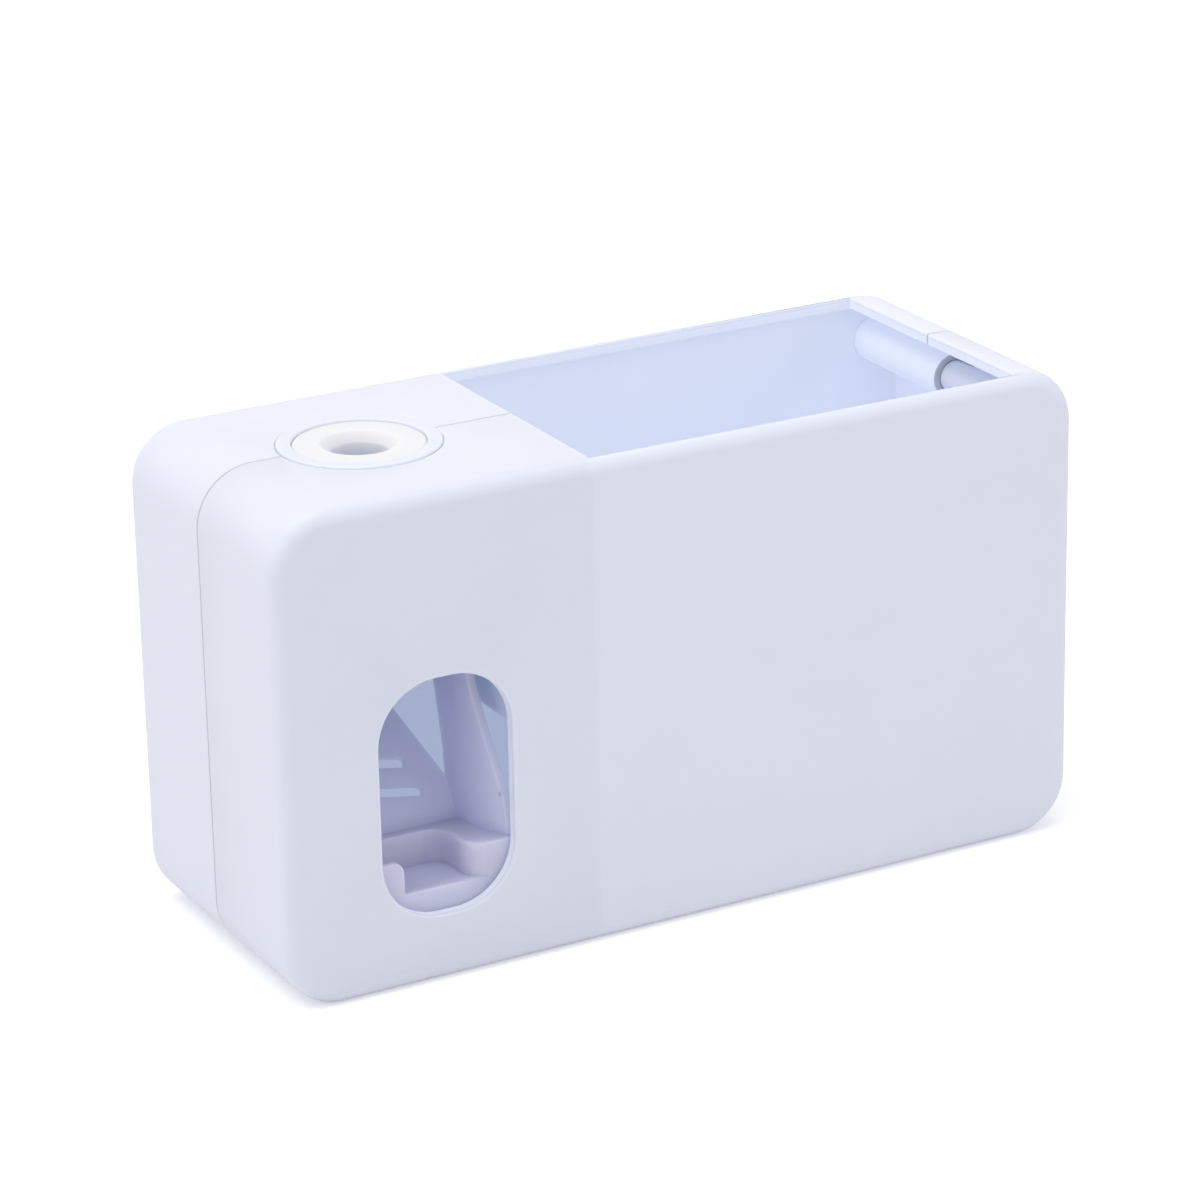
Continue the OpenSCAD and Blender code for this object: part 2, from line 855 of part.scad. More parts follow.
// Open clips in the pin's grooves, outside the cheeks
module pin_clips() {
    color(steel)
        for (x = [-1, 1])
            translate([pump_x + x * (cheek_out + groove_x), pivot_y, pivot_z])
                difference() {
                    rod_x(pin_clip_r, -pin_clip_half, pin_clip_half);
                    rod_x(groove_r + shaft_fit, -over, over);
                    translate([-over, -pin_clip_gap / 2, -pin_clip_r - over])
                        cube([2 * over, pin_clip_gap, pin_clip_r + over]);
                }
}

// Roller that the lever presses on the hose, turning on its own pin
module press_roller() {
    color(white)
        translate([pump_x, roller_y, roller_z])
            difference() {
                rod_x(roller_r, -arm_in + pass, arm_in - pass);
                rod_x(roller_pin_r + shaft_fit, -arm_in, arm_in);
            }
}

module roller_pin() {
    color(steel)
        translate([pump_x, roller_y, roller_z])
            rod_x(roller_pin_r, -arm_out - 0.6, arm_out + 0.6);
}

// Return springs: one coil on the pivot pin beside each arm, with a leg to the lever
// and a leg to the frame, each one unbroken wire
// Middle line of the spring: leg on the lever's peg, coil, leg on the cheek's peg
function spring_path() =
    let (n = spring_turns * spring_rings, x_end = spring_start + spring_pitch * spring_turns)
    concat(
        [for (i = [3 : -1 : 1]) [spring_start, -spring_r, -leg_len * i / 3]],
        [for (i = [0 : n])
            let (a = 180 - 360 * i / spring_rings)
            [spring_start + spring_pitch * i / spring_rings, spring_r * cos(a), spring_r * sin(a)]],
        [for (i = [1 : 3]) [x_end, spring_r, -leg_len * i / 3]]
    );

function unit(v) = v / norm(v);

// Ring of points square to the path at point i
function ring(path, i, r) =
    let (
        a = path[max(i - 1, 0)], b = path[min(i + 1, len(path) - 1)],
        t = unit(b - a), side = unit(cross(t, [1, 0.001, 0])), up = cross(side, t)
    )
    [for (k = [0 : spring_sides - 1])
        path[i] + r * (cos(360 * k / spring_sides) * side + sin(360 * k / spring_sides) * up)];

module swept_tube(path, r) {
    n = len(path);
    s = spring_sides;
    points = [for (i = [0 : n - 1]) each ring(path, i, r)];
    sides = [for (i = [0 : n - 2], k = [0 : s - 1])
        each [[i * s + k, (i + 1) * s + k, i * s + (k + 1) % s],
              [i * s + (k + 1) % s, (i + 1) * s + k, (i + 1) * s + (k + 1) % s]]];
    ends = [
        for (k = [1 : s - 2]) [0, k, k + 1],
        for (k = [1 : s - 2]) [(n - 1) * s, (n - 1) * s + k + 1, (n - 1) * s + k]
    ];
    polyhedron(points = points, faces = concat(sides, ends));
}

// Least distance between points of the wire that are over half a turn apart
function least_gap(path) =
    min([for (i = [0 : len(path) - 1], j = [i + spring_rings / 2 : len(path) - 1])
        norm(path[i] - path[j])]) - spring_wire;

module return_springs() {
    path = spring_path();
    echo(least_spring_gap = least_gap(path));
    color(steel)
        translate([pump_x, pivot_y, pivot_z]) {
            swept_tube(path, spring_wire / 2);
            mirror([1, 0, 0])
                swept_tube(path, spring_wire / 2);
        }
}

front_shell();
rear_shell();
shell_screws();
inlet_collar();
inlet_grommet();
pump_frame();
frame_screws();
pump_hose();
hose_clips();
inlet_valve();
outlet_elbow();
elbow_screws();
outlet_valve();
nozzle_cap();
push_lever();
pivot_pin();
pin_clips();
return_springs();
press_roller();
roller_pin();
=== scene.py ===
"""Counter-top toothpaste dispenser: softened mouldings, finishes, floor, light and camera."""

import logging
import math
from dataclasses import dataclass
from enum import Enum
from typing import Callable

import bpy
from mathutils import Matrix, Vector


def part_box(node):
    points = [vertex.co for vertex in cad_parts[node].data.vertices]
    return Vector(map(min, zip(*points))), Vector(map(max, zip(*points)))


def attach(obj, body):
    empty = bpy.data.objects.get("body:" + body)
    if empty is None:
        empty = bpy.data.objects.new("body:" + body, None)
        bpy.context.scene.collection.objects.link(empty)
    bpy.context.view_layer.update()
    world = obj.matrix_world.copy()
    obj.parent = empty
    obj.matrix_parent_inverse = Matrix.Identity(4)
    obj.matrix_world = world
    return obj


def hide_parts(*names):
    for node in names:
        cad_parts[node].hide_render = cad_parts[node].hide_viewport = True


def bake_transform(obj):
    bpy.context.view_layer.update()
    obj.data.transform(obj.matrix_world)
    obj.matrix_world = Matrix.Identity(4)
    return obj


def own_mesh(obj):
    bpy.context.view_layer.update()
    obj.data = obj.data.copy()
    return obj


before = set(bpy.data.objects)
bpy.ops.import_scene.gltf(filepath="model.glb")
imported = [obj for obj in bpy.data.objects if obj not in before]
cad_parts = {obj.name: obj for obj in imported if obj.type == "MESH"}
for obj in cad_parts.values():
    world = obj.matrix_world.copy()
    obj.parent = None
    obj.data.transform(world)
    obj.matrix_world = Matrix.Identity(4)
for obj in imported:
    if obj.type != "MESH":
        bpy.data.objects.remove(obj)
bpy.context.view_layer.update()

MM = 0.001
log = logging.getLogger("dispenser")


def middle_mm(node: str) -> Vector:
    """Middle of a CAD node's box, in millimetres."""
    low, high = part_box(node)
    return (low + high) / 2 / MM


def case_mm() -> Vector:
    """Width, depth and height of the closed case, in millimetres."""
    low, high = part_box("front_shell")[0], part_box("rear_shell")[1]
    return Vector([round(v / MM, 2) for v in high - low])


# The case's outside, in millimetres: its middle is at x = y = 0, and it stands on z = 0
CASE_MM = case_mm()
CORNER_MM = 10.5
EDGE_MM = 3.0
PUMP_X = round(middle_mm("inlet_collar").x, 2)
INLET_MM = Vector((PUMP_X, 0.0, CASE_MM.z))
INLET_R_MM = 14.65
BIN_X_MM = -19.8
SCREW_MM = Vector((73.35, 0.0, 35.9))
RECESS_R_MM = 3.1
ON_FACE_MM = 0.02

# The case's masks for its painted glow, painted light round the bin and painted shade in the seam: where each
# soft step starts and ends, in millimetres
UNDER_SKIN_MM = (0.45, 0.9)
OFF_SEAM_MM = (0.1, 0.25)
SEAM_SHADE_MM = (0.12, 0.3)
BIN_STEP_MM = 1.0
# How much the painted glow dims over the bin, and how dark the painted seam shade makes the colour
BIN_GLOW_DIMMER = 0.07
SEAM_PAINTED_SHADE = 0.7

Socket = bpy.types.NodeSocket
Tree = bpy.types.NodeTree
Colour = tuple[float, float, float]


class Slot(Enum):
    """Names of material slots, listed with the inlet's pieces."""

    CASE = "case"
    LEVER = "lever"
    SILICONE = "silicone"
    STEEL = "steel"


class Body(Enum):
    """The rigid bodies that pieces ride on."""

    HOUSING = "housing"
    LEVER = "lever"


class SurfaceGroups:
    """Shader node groups that several finishes share, each built once."""

    def __init__(self) -> None:
        """Builds the groups."""
        self.moulded = self._moulded_skin()
        self.drawn = self._drawn_metal()
        self.inside = self._case_inside()

    def _new(self, name: str, inputs: dict[str, float], outputs: tuple[str, ...]) -> Tree:
        """Starts a group with float inputs and outputs.

        Args:
            name: the group's name.
            inputs: float inputs and their defaults.
            outputs: names of the float outputs.

        Returns:
            The empty group.
        """
        tree = bpy.data.node_groups.new(name, "ShaderNodeTree")
        for label, value in inputs.items():
            made = tree.interface.new_socket(label, in_out="INPUT", socket_type="NodeSocketFloat")
            made.default_value = value
        for label in outputs:
            tree.interface.new_socket(label, in_out="OUTPUT", socket_type="NodeSocketFloat")
        return tree

    def _moulded_skin(self) -> Tree:
        """Skin of a moulding: cloudy tone from the melt's flow and a fine spark-eroded grain.

        Returns:
            A group with the outputs Tone, Gloss and Grain.
        """
        scales = {"Grain Scale": 2600.0, "Cloud Scale": 35.0}
        tree = self._new("moulded_skin", scales, ("Tone", "Gloss", "Grain"))
        link = tree.links.new
        given = tree.nodes.new("NodeGroupInput")
        out = tree.nodes.new("NodeGroupOutput")
        place = tree.nodes.new("ShaderNodeTexCoord")
        cloud = tree.nodes.new("ShaderNodeTexNoise")
        cloud.inputs["Detail"].default_value = 3.0
        grain = tree.nodes.new("ShaderNodeTexNoise")
        grain.inputs["Detail"].default_value = 2.0
        patch = tree.nodes.new("ShaderNodeTexNoise")
        patch.inputs["Scale"].default_value = 120.0
        for tex in (cloud, grain, patch):
            link(place.outputs["Object"], tex.inputs["Vector"])
        link(given.outputs["Cloud Scale"], cloud.inputs["Scale"])
        link(given.outputs["Grain Scale"], grain.inputs["Scale"])
        link(cloud.outputs["Fac"], out.inputs["Tone"])
        link(patch.outputs["Fac"], out.inputs["Gloss"])
        link(grain.outputs["Fac"], out.inputs["Grain"])
        return tree

    def _drawn_metal(self) -> Tree:
        """Drawn or rolled metal: fine streaks along one direction.

        Returns:
            A group with the outputs Streak and Tone.
        """
        tree = self._new("drawn_metal", {"Streak Scale": 900.0}, ("Streak", "Tone"))
        link = tree.links.new
        given = tree.nodes.new("NodeGroupInput")
        out = tree.nodes.new("NodeGroupOutput")
        place = tree.nodes.new("ShaderNodeTexCoord")
        stretch = tree.nodes.new("ShaderNodeMapping")
        stretch.inputs["Scale"].default_value = (0.06, 1.0, 1.0)
        streak = tree.nodes.new("ShaderNodeTexNoise")
        tone = tree.nodes.new("ShaderNodeTexNoise")
        tone.inputs["Scale"].default_value = 180.0
        link(place.outputs["Object"], stretch.inputs["Vector"])
        link(stretch.outputs["Vector"], streak.inputs["Vector"])
        link(given.outputs["Streak Scale"], streak.inputs["Scale"])
        link(place.outputs["Object"], tone.inputs["Vector"])
        link(streak.outputs["Fac"], out.inputs["Streak"])
        link(tone.outputs["Fac"], out.inputs["Tone"])
        return tree

    def _case_inside(self) -> Tree:
        """Masks of the case's painted glow, painted light and painted shade, from its rounded outside in
        object coordinates.

        Returns:
            A group with the outputs Inside, for the painted glow on faces under the skin that no recess or
            seam opens,
            Bin, for the painted light on the skin round the bin, and Seam, for the painted shade on the line
            between the two halves.
        """
        tree = self._new("case_inside", {}, ("Inside", "Bin", "Seam"))
        out = tree.nodes.new("NodeGroupOutput")
        place = tree.nodes.new("ShaderNodeTexCoord").outputs["Object"]
        centred = self._vector(tree, "SUBTRACT", place, Vector((0, 0, CASE_MM.z / 2)))
        folded = self._vector(tree, "ABSOLUTE", centred)
        flat = Vector((CASE_MM.x / 2 - CORNER_MM, CASE_MM.y, CASE_MM.z / 2 - CORNER_MM))
        beyond = self._vector(tree, "MAXIMUM", self._vector(tree, "SUBTRACT", folded, flat))
        reach = self._vector(tree, "LENGTH", beyond)
        split = tree.nodes.new("ShaderNodeSeparateXYZ")
        tree.links.new(folded, split.inputs[0])
        join = tree.nodes.new("ShaderNodeCombineXYZ")
        for axis, source, lies in (("X", reach, CORNER_MM), ("Y", split.outputs["Y"], CASE_MM.y / 2)):
            tree.links.new(self._maths(tree, "SUBTRACT", source, (lies - EDGE_MM) * MM), join.inputs[axis])
        skin = self._vector(tree, "LENGTH", self._vector(tree, "MAXIMUM", join.outputs[0]))
        shallow, deep = UNDER_SKIN_MM
        under = self._step(tree, skin, EDGE_MM - deep, EDGE_MM - shallow, falling=True)
        level = self._vector(tree, "MULTIPLY", folded, Vector((1, 0, 1)) / MM)
        recess = self._vector(tree, "DISTANCE", level, SCREW_MM)
        beside = self._step(tree, recess, RECESS_R_MM + 0.1, RECESS_R_MM + 0.2)
        side = tree.nodes.new("ShaderNodeSeparateXYZ")
        tree.links.new(place, side.inputs[0])
        at_bin = self._step(tree, side.outputs["X"], BIN_X_MM - BIN_STEP_MM, BIN_X_MM + BIN_STEP_MM)
        # Dims the painted glow on the inner faces over the bin
        dimmer = self._maths(tree, "SUBTRACT", 1.0, self._maths(tree, "MULTIPLY", at_bin, BIN_GLOW_DIMMER))
        off_seam = self._step(tree, split.outputs["Y"], *OFF_SEAM_MM)
        # Inside: where the painted glow shows, under the skin, off the screw recesses and the seam
        inside = self._maths(tree, "MULTIPLY", self._maths(tree, "MULTIPLY", under, beside), dimmer)
        inside = self._maths(tree, "MULTIPLY", inside, off_seam)
        tree.links.new(inside, out.inputs["Inside"])
        outside = self._maths(tree, "SUBTRACT", 1.0, under)
        # Bin: where the base colour is painted paler, as painted light from the open bin behind
        tree.links.new(self._maths(tree, "MULTIPLY", at_bin, outside), out.inputs["Bin"])
        inlet = self._vector(tree, "DISTANCE", place, INLET_MM)
        past_inlet = self._step(tree, inlet, INLET_R_MM, INLET_R_MM + 0.05)
        # Seam: painted shade along the line between the halves, kept off the inlet
        seam = self._step(tree, split.outputs["Y"], *SEAM_SHADE_MM, falling=True)
        tree.links.new(self._maths(tree, "MULTIPLY", seam, past_inlet), out.inputs["Seam"])
        return tree

    def _maths(
        self, tree: Tree, step: str, first: Socket | float, second: Socket | float
    ) -> Socket:
        """Adds a maths node.

        Args:
            tree: the group.
            step: the node's operation.
            first: its first input.
            second: its second input.

        Returns:
            The node's result.
        """
        node = tree.nodes.new("ShaderNodeMath")
        node.operation = step
        for place, value in enumerate((first, second)):
            if isinstance(value, float):
                node.inputs[place].default_value = value
            else:
                tree.links.new(value, node.inputs[place])
        return node.outputs[0]

    def _vector(
        self, tree: Tree, step: str, value: Socket, by: Vector = Vector((0, 0, 0))
    ) -> Socket:
        """Adds a vector maths node.

        Args:
            tree: the group.
            step: the node's operation.
            value: its first input.
            by: its second input, in millimetres.

        Returns:
            The node's result, a number for LENGTH and DISTANCE.
        """
        node = tree.nodes.new("ShaderNodeVectorMath")
        node.operation = step
        node.inputs[1].default_value = by * MM
        tree.links.new(value, node.inputs[0])
        return node.outputs["Value"] if step in ("LENGTH", "DISTANCE") else node.outputs["Vector"]

    def _step(
        self, tree: Tree, value: Socket, low: float, high: float, falling: bool = False
    ) -> Socket:
        """Adds a soft step from 0 to 1 between two lengths.

        Args:
            tree: the group.
            value: a length in metres.
            low: where the step starts, in millimetres.
            high: where it ends, in millimetres.
            falling: makes the step go from 1 to 0.

        Returns:
            The step.
        """
        node = tree.nodes.new("ShaderNodeMapRange")
        node.interpolation_type = "SMOOTHSTEP"
        node.inputs["From Min"].default_value = low * MM
        node.inputs["From Max"].default_value = high * MM
        node.inputs["To Min"].default_value = float(falling)
        node.inputs["To Max"].default_value = float(not falling)
        tree.links.new(value, node.inputs["Value"])
        return node.outputs["Result"]


def paint_light_and_seam_shade(shader: bpy.types.Node, groups: SurfaceGroups, light: Colour, lift: float) -> None:
    """Paints light into the case: an emission on its inner faces and a paler colour round the bin stand in
    for the daylight that the walls let through, and a painted shade darkens the seam.

    Args:
        shader: the material's Principled BSDF, with its colour linked.
        groups: the shared shader groups.
        light: linear colour of the painted glow, an emission, on the inner faces.
        lift: how much paler the colour is painted where the open bin would light the plastic from behind.
    """
    tree = shader.id_data
    case = tree.nodes.new("ShaderNodeGroup")
    case.node_tree = groups.inside
    # Painted light: an emission on the inner faces stands in for daylight through the walls
    inner = blended(tree, case.outputs["Inside"], (0.0, 0.0, 0.0), light)
    tree.links.new(inner, shader.inputs["Emission Color"])
    shader.inputs["Emission Strength"].default_value = 1.0
    # Painted light round the bin and painted shade in the seam, multiplied into the base colour
    for mask, tone in (("Bin", 1 + lift), ("Seam", SEAM_PAINTED_SHADE)):
        toned = tree.nodes.new("ShaderNodeMix")
        toned.data_type = "RGBA"
        toned.blend_type = "MULTIPLY"
        toned.inputs[7].default_value = (tone, tone, tone, 1.0)
        tree.links.new(case.outputs[mask], toned.inputs[0])
        tree.links.new(shader.inputs["Base Color"].links[0].from_socket, toned.inputs[6])
        tree.links.new(toned.outputs[2], shader.inputs["Base Color"])


def remapped(tree: Tree, value: Socket, low: float, high: float) -> Socket:
    """Maps the middle of a 0 to 1 noise value to a range.

    Args:
        tree: the material's nodes.
        value: the noise value.
        low: result where the noise is low.
        high: result where the noise is high.

    Returns:
        The mapped value.
    """
    node = tree.nodes.new("ShaderNodeMapRange")
    node.inputs["From Min"].default_value = 0.3
    node.inputs["From Max"].default_value = 0.7
    node.inputs["To Min"].default_value = low
    node.inputs["To Max"].default_value = high
    tree.links.new(value, node.inputs["Value"])
    return node.outputs["Result"]


def blended(tree: Tree, mask: Socket, first: Colour, second: Colour) -> Socket:
    """Mixes two colours by a mask.

    Args:
        tree: the material's nodes.
        mask: 0 for the first colour, 1 for the second.
        first: linear colour.
        second: linear colour.

    Returns:
        The mixed colour.
    """
    node = tree.nodes.new("ShaderNodeMix")
    node.data_type = "RGBA"
    node.inputs[6].default_value = (*first, 1.0)
    node.inputs[7].default_value = (*second, 1.0)
    tree.links.new(mask, node.inputs[0])
    return node.outputs[2]


@dataclass(frozen=True)
class MouldedPlastic:
    """Injection-moulded plastic: two close tones, a satin skin and a fine grain."""

    name: str
    colour: Colour
    deep: Colour
    rough: tuple[float, float]
    grain_mm: float = 0.006
    grain_scale: float = 2600.0
    glow: float = 0.0
    glow_mm: float = 6.0
    # Painted light: an emission on the case's inner faces
    inner_painted_glow: Colour = (0.0, 0.0, 0.0)
    # Painted light: how much paler the colour is painted round the bin
    bin_painted_light: float = 0.0
    ior: float = 1.5
    specular: float = 0.4
    grain_strength: float = 0.6

    def build(self, groups: SurfaceGroups) -> bpy.types.Material:
        """Builds the material.

        Args:
            groups: the shared shader groups.

        Returns:
            The material.
        """
        made = bpy.data.materials.new(self.name)
        made.use_nodes = True
        tree = made.node_tree
        shader = tree.nodes["Principled BSDF"]
        skin = tree.nodes.new("ShaderNodeGroup")
        skin.node_tree = groups.moulded
        skin.inputs["Grain Scale"].default_value = self.grain_scale
        mask = remapped(tree, skin.outputs["Tone"], 0.0, 1.0)
        tree.links.new(blended(tree, mask, self.deep, self.colour), shader.inputs["Base Color"])
        tree.links.new(remapped(tree, skin.outputs["Gloss"], *self.rough), shader.inputs["Roughness"])
        bump = tree.nodes.new("ShaderNodeBump")
        bump.inputs["Distance"].default_value = self.grain_mm * MM
        bump.inputs["Strength"].default_value = self.grain_strength
        tree.links.new(skin.outputs["Grain"], bump.inputs["Height"])
        tree.links.new(bump.outputs["Normal"], shader.inputs["Normal"])
        shader.inputs["IOR"].default_value = self.ior
        shader.inputs["Specular IOR Level"].default_value = self.specular
        if self.glow > 0:
            shader.inputs["Subsurface Weight"].default_value = self.glow
            shader.inputs["Subsurface Radius"].default_value = (1.0, 1.0, 1.0)
            shader.inputs["Subsurface Scale"].default_value = self.glow_mm * MM
        if max(self.inner_painted_glow) > 0:
            paint_light_and_seam_shade(shader, groups, self.inner_painted_glow, self.bin_painted_light)
        return made


@dataclass(frozen=True)
class SoftSilicone(MouldedPlastic):
    """White silicone: a matt, slightly translucent skin with a powdery sheen."""

    ior: float = 1.41
    sheen: float = 0.15
    sheen_rough: float = 0.4

    def build(self, groups: SurfaceGroups) -> bpy.types.Material:
        """Builds the material.

        Args:
            groups: the shared shader groups.

        Returns:
            The material.
        """
        made = super().build(groups)
        shader = made.node_tree.nodes["Principled BSDF"]
        shader.inputs["Sheen Weight"].default_value = self.sheen
        shader.inputs["Sheen Roughness"].default_value = self.sheen_rough
        return made


@dataclass(frozen=True)
class DrawnSteel:
    """Plain steel with streaks along X."""

    name: str
    colour: Colour = (0.60, 0.61, 0.63)
    deep: Colour = (0.48, 0.49, 0.52)
    rough: tuple[float, float] = (0.22, 0.42)

    def build(self, groups: SurfaceGroups) -> bpy.types.Material:
        """Builds the material.

        Args:
            groups: the shared shader groups.

        Returns:
            The material.
        """
        made = bpy.data.materials.new(self.name)
        made.use_nodes = True
        tree = made.node_tree
        shader = tree.nodes["Principled BSDF"]
        metal = tree.nodes.new("ShaderNodeGroup")
        metal.node_tree = groups.drawn
        mask = remapped(tree, metal.outputs["Tone"], 0.0, 1.0)
        tree.links.new(blended(tree, mask, self.deep, self.colour), shader.inputs["Base Color"])
        tree.links.new(remapped(tree, metal.outputs["Streak"], *self.rough), shader.inputs["Roughness"])
        shader.inputs["Metallic"].default_value = 1.0
        return made


class Finishes:
    """Every finish of the dispenser, built once."""

    def __init__(self) -> None:
        """Builds the finishes."""
        groups = SurfaceGroups()
        self.case = MouldedPlastic(
            "white_case_plastic", (0.775, 0.795, 0.866), (0.765, 0.785, 0.860), (0.36, 0.46),
            # Painted glow on the inner faces and painted light round the bin
            glow=1.0, glow_mm=0.7, inner_painted_glow=(0.116, 0.127, 0.135), bin_painted_light=0.035,
        ).build(groups)
        self.mechanism = MouldedPlastic(
            "white_frame_plastic", (0.78, 0.83, 0.95), (0.76, 0.81, 0.94), (0.42, 0.55),
            glow=1.0, glow_mm=4.0,
        ).build(groups)
        self.lever = MouldedPlastic(
            "lilac_lever_plastic", (0.63, 0.625, 0.775), (0.61, 0.605, 0.76), (0.34, 0.46),
            glow=1.0, glow_mm=5.0,
        ).build(groups)
        self.silicone = SoftSilicone(
            "white_silicone", (0.82, 0.817, 0.825), (0.805, 0.802, 0.81), (0.48, 0.62),
            glow=1.0, glow_mm=2.0,
        ).build(groups)
        self.steel = DrawnSteel("drawn_steel").build(groups)


def alone(piece: bpy.types.Object) -> None:
    """Makes a piece the only selected object and the active one."""
    for other in bpy.context.selected_objects:
        other.select_set(False)
    piece.select_set(True)
    bpy.context.view_layer.objects.active = piece


def merged_copy(node: str, name: str) -> bpy.types.Object:
    """Copies a CAD node's mesh into a new object, with its doubles merged and flat areas joined.

    Args:
        node: the CAD node.
        name: the new piece's name.

    Returns:
        The new piece.
    """
    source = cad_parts[node]
    piece = bpy.data.objects.new(name, source.data.copy())
    bpy.context.scene.collection.objects.link(piece)
    piece.data.materials.clear()
    alone(piece)
    bpy.ops.object.mode_set(mode="EDIT")
    bpy.ops.mesh.select_all(action="SELECT")
    bpy.ops.mesh.remove_doubles(threshold=0.002 * MM)
    bpy.ops.mesh.customdata_custom_splitnormals_clear()
    bpy.ops.mesh.dissolve_limited(angle_limit=math.radians(0.4))
    bpy.ops.object.mode_set(mode="OBJECT")
    return piece


def soften(
    piece: bpy.types.Object,
    pick: Callable[[Vector, Vector], bool],
    width_mm: float,
    segments: int = 3,
    least_turn: float = 40.0,
) -> int:
    """Rounds the sharp edges of a piece that a test picks.

    Args:
        piece: the piece.
        pick: takes the edge's two ends in millimetres and says if it is rounded.
        width_mm: width of the rounding.
        segments: faces across the rounding.
        least_turn: least angle between the edge's two faces, in degrees.

    Returns:
        How many edges were rounded.
    """
    alone(piece)
    bpy.ops.object.mode_set(mode="EDIT")
    bpy.ops.mesh.select_mode(type="EDGE")
    bpy.ops.mesh.select_all(action="DESELECT")
    bpy.ops.object.mode_set(mode="OBJECT")
    mesh = piece.data
    normals: dict[tuple[int, int], list[Vector]] = {}
    for face in mesh.polygons:
        for key in face.edge_keys:
            normals.setdefault(key, []).append(face.normal)
    count = 0
    for edge in mesh.edges:
        sides = normals.get(tuple(sorted(edge.vertices)), [])
        if len(sides) != 2 or sides[0].angle(sides[1], 0.0) < math.radians(least_turn):
            continue
        a, b = (mesh.vertices[i].co / MM for i in edge.vertices)
        if pick(a, b):
            edge.select = True
            count += 1
    bpy.ops.object.mode_set(mode="EDIT")
    if count:
        bpy.ops.mesh.bevel(offset=width_mm * MM, segments=segments, affect="EDGES", clamp_overlap=False)
    bpy.ops.object.mode_set(mode="OBJECT")
    return count


def smooth(piece: bpy.types.Object, degrees: float = 32.0) -> None:
    """Shades a piece smooth, except across edges that turn by more than an angle."""
    alone(piece)
    bpy.ops.object.shade_smooth_by_angle(angle=math.radians(degrees))


def turned(
    name: str, profile: list[tuple[float, float]], centre: Vector, around: int
) -> bpy.types.Object:
    """Turns a closed profile about a vertical axis: a circle that is extruded from point to point.

    Args:
        name: the piece's name.
        profile: radius and height of each point in millimetres, once round the section.
        centre: a point on the axis, in millimetres.
        around: vertices round the axis.

    Returns:
        The new piece.
    """
    first = profile[0]
    bpy.ops.mesh.primitive_circle_add(
        vertices=around, radius=first[0] * MM, location=(centre.x * MM, centre.y * MM, first[1] * MM)
    )
    piece = bpy.context.object
    piece.name = name
    alone(piece)
    bpy.ops.object.transform_apply(location=True, rotation=True, scale=True)
    bpy.ops.object.mode_set(mode="EDIT")
    bpy.ops.mesh.select_all(action="SELECT")
    for (r0, z0), (r1, z1) in zip(profile, profile[1:] + profile[:1]):
        bpy.ops.mesh.extrude_region_move(TRANSFORM_OT_translate={"value": (0, 0, (z1 - z0) * MM)})
        bpy.ops.transform.resize(
            value=(r1 / r0, r1 / r0, 1), center_override=(centre.x * MM, centre.y * MM, z1 * MM)
        )
    bpy.ops.mesh.select_all(action="SELECT")
    bpy.ops.mesh.remove_doubles(threshold=0.001 * MM)
    bpy.ops.mesh.normals_make_consistent(inside=False)
    bpy.ops.object.mode_set(mode="OBJECT")
    return piece


def rounded(points: list[tuple[float, float, float]], steps: int = 4) -> list[tuple[float, float]]:
    """Rounds the corners of a closed outline.

    Args:
        points: each corner's two coordinates and its radius.
        steps: faces in each rounding.

    Returns:
        The outline's points.
    """
    out: list[tuple[float, float]] = []
    count = len(points)
    for i, (x, y, r) in enumerate(points):
        here = Vector((x, y))
        if r <= 0:
            out.append((x, y))
            continue
        before = (Vector(points[i - 1][:2]) - here).normalized()
        after = (Vector(points[(i + 1) % count][:2]) - here).normalized()
        half = before.angle(after) / 2
        reach = r / math.tan(half)
        middle = here + (before + after).normalized() * (r / math.sin(half))
        start = here + before * reach - middle
        end = here + after * reach - middle
        turn = start.angle_signed(end)
        for k in range(steps + 1):
            arm = Matrix.Rotation(-turn * k / steps, 2) @ start
            out.append(tuple(middle + arm))
    return out


def dress(
    piece: bpy.types.Object, finish: bpy.types.Material, body: Body | None, node: str
) -> None:
    """Gives a new piece its finish and body, and hides the CAD node that it stands for.

    Args:
        piece: the piece.
        finish: its material.
        body: the body that it rides on, or None to leave it unattached.
        node: the CAD node that it replaces.
    """
    piece.data.materials.clear()
    piece.data.materials.append(finish)
    if body is not None:
        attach(piece, body.value)
    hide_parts(node)
    log.info("%s: %d faces, for %s", piece.name, len(piece.data.polygons), node)


def dress_nodes(finish: bpy.types.Material, *nodes: str) -> None:
    """Assigns a finish to CAD nodes that keep their shape."""
    for node in nodes:
        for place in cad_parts[node].material_slots:
            place.material = finish
        log.info("%s: keeps its solid, in %s", node, finish.name)


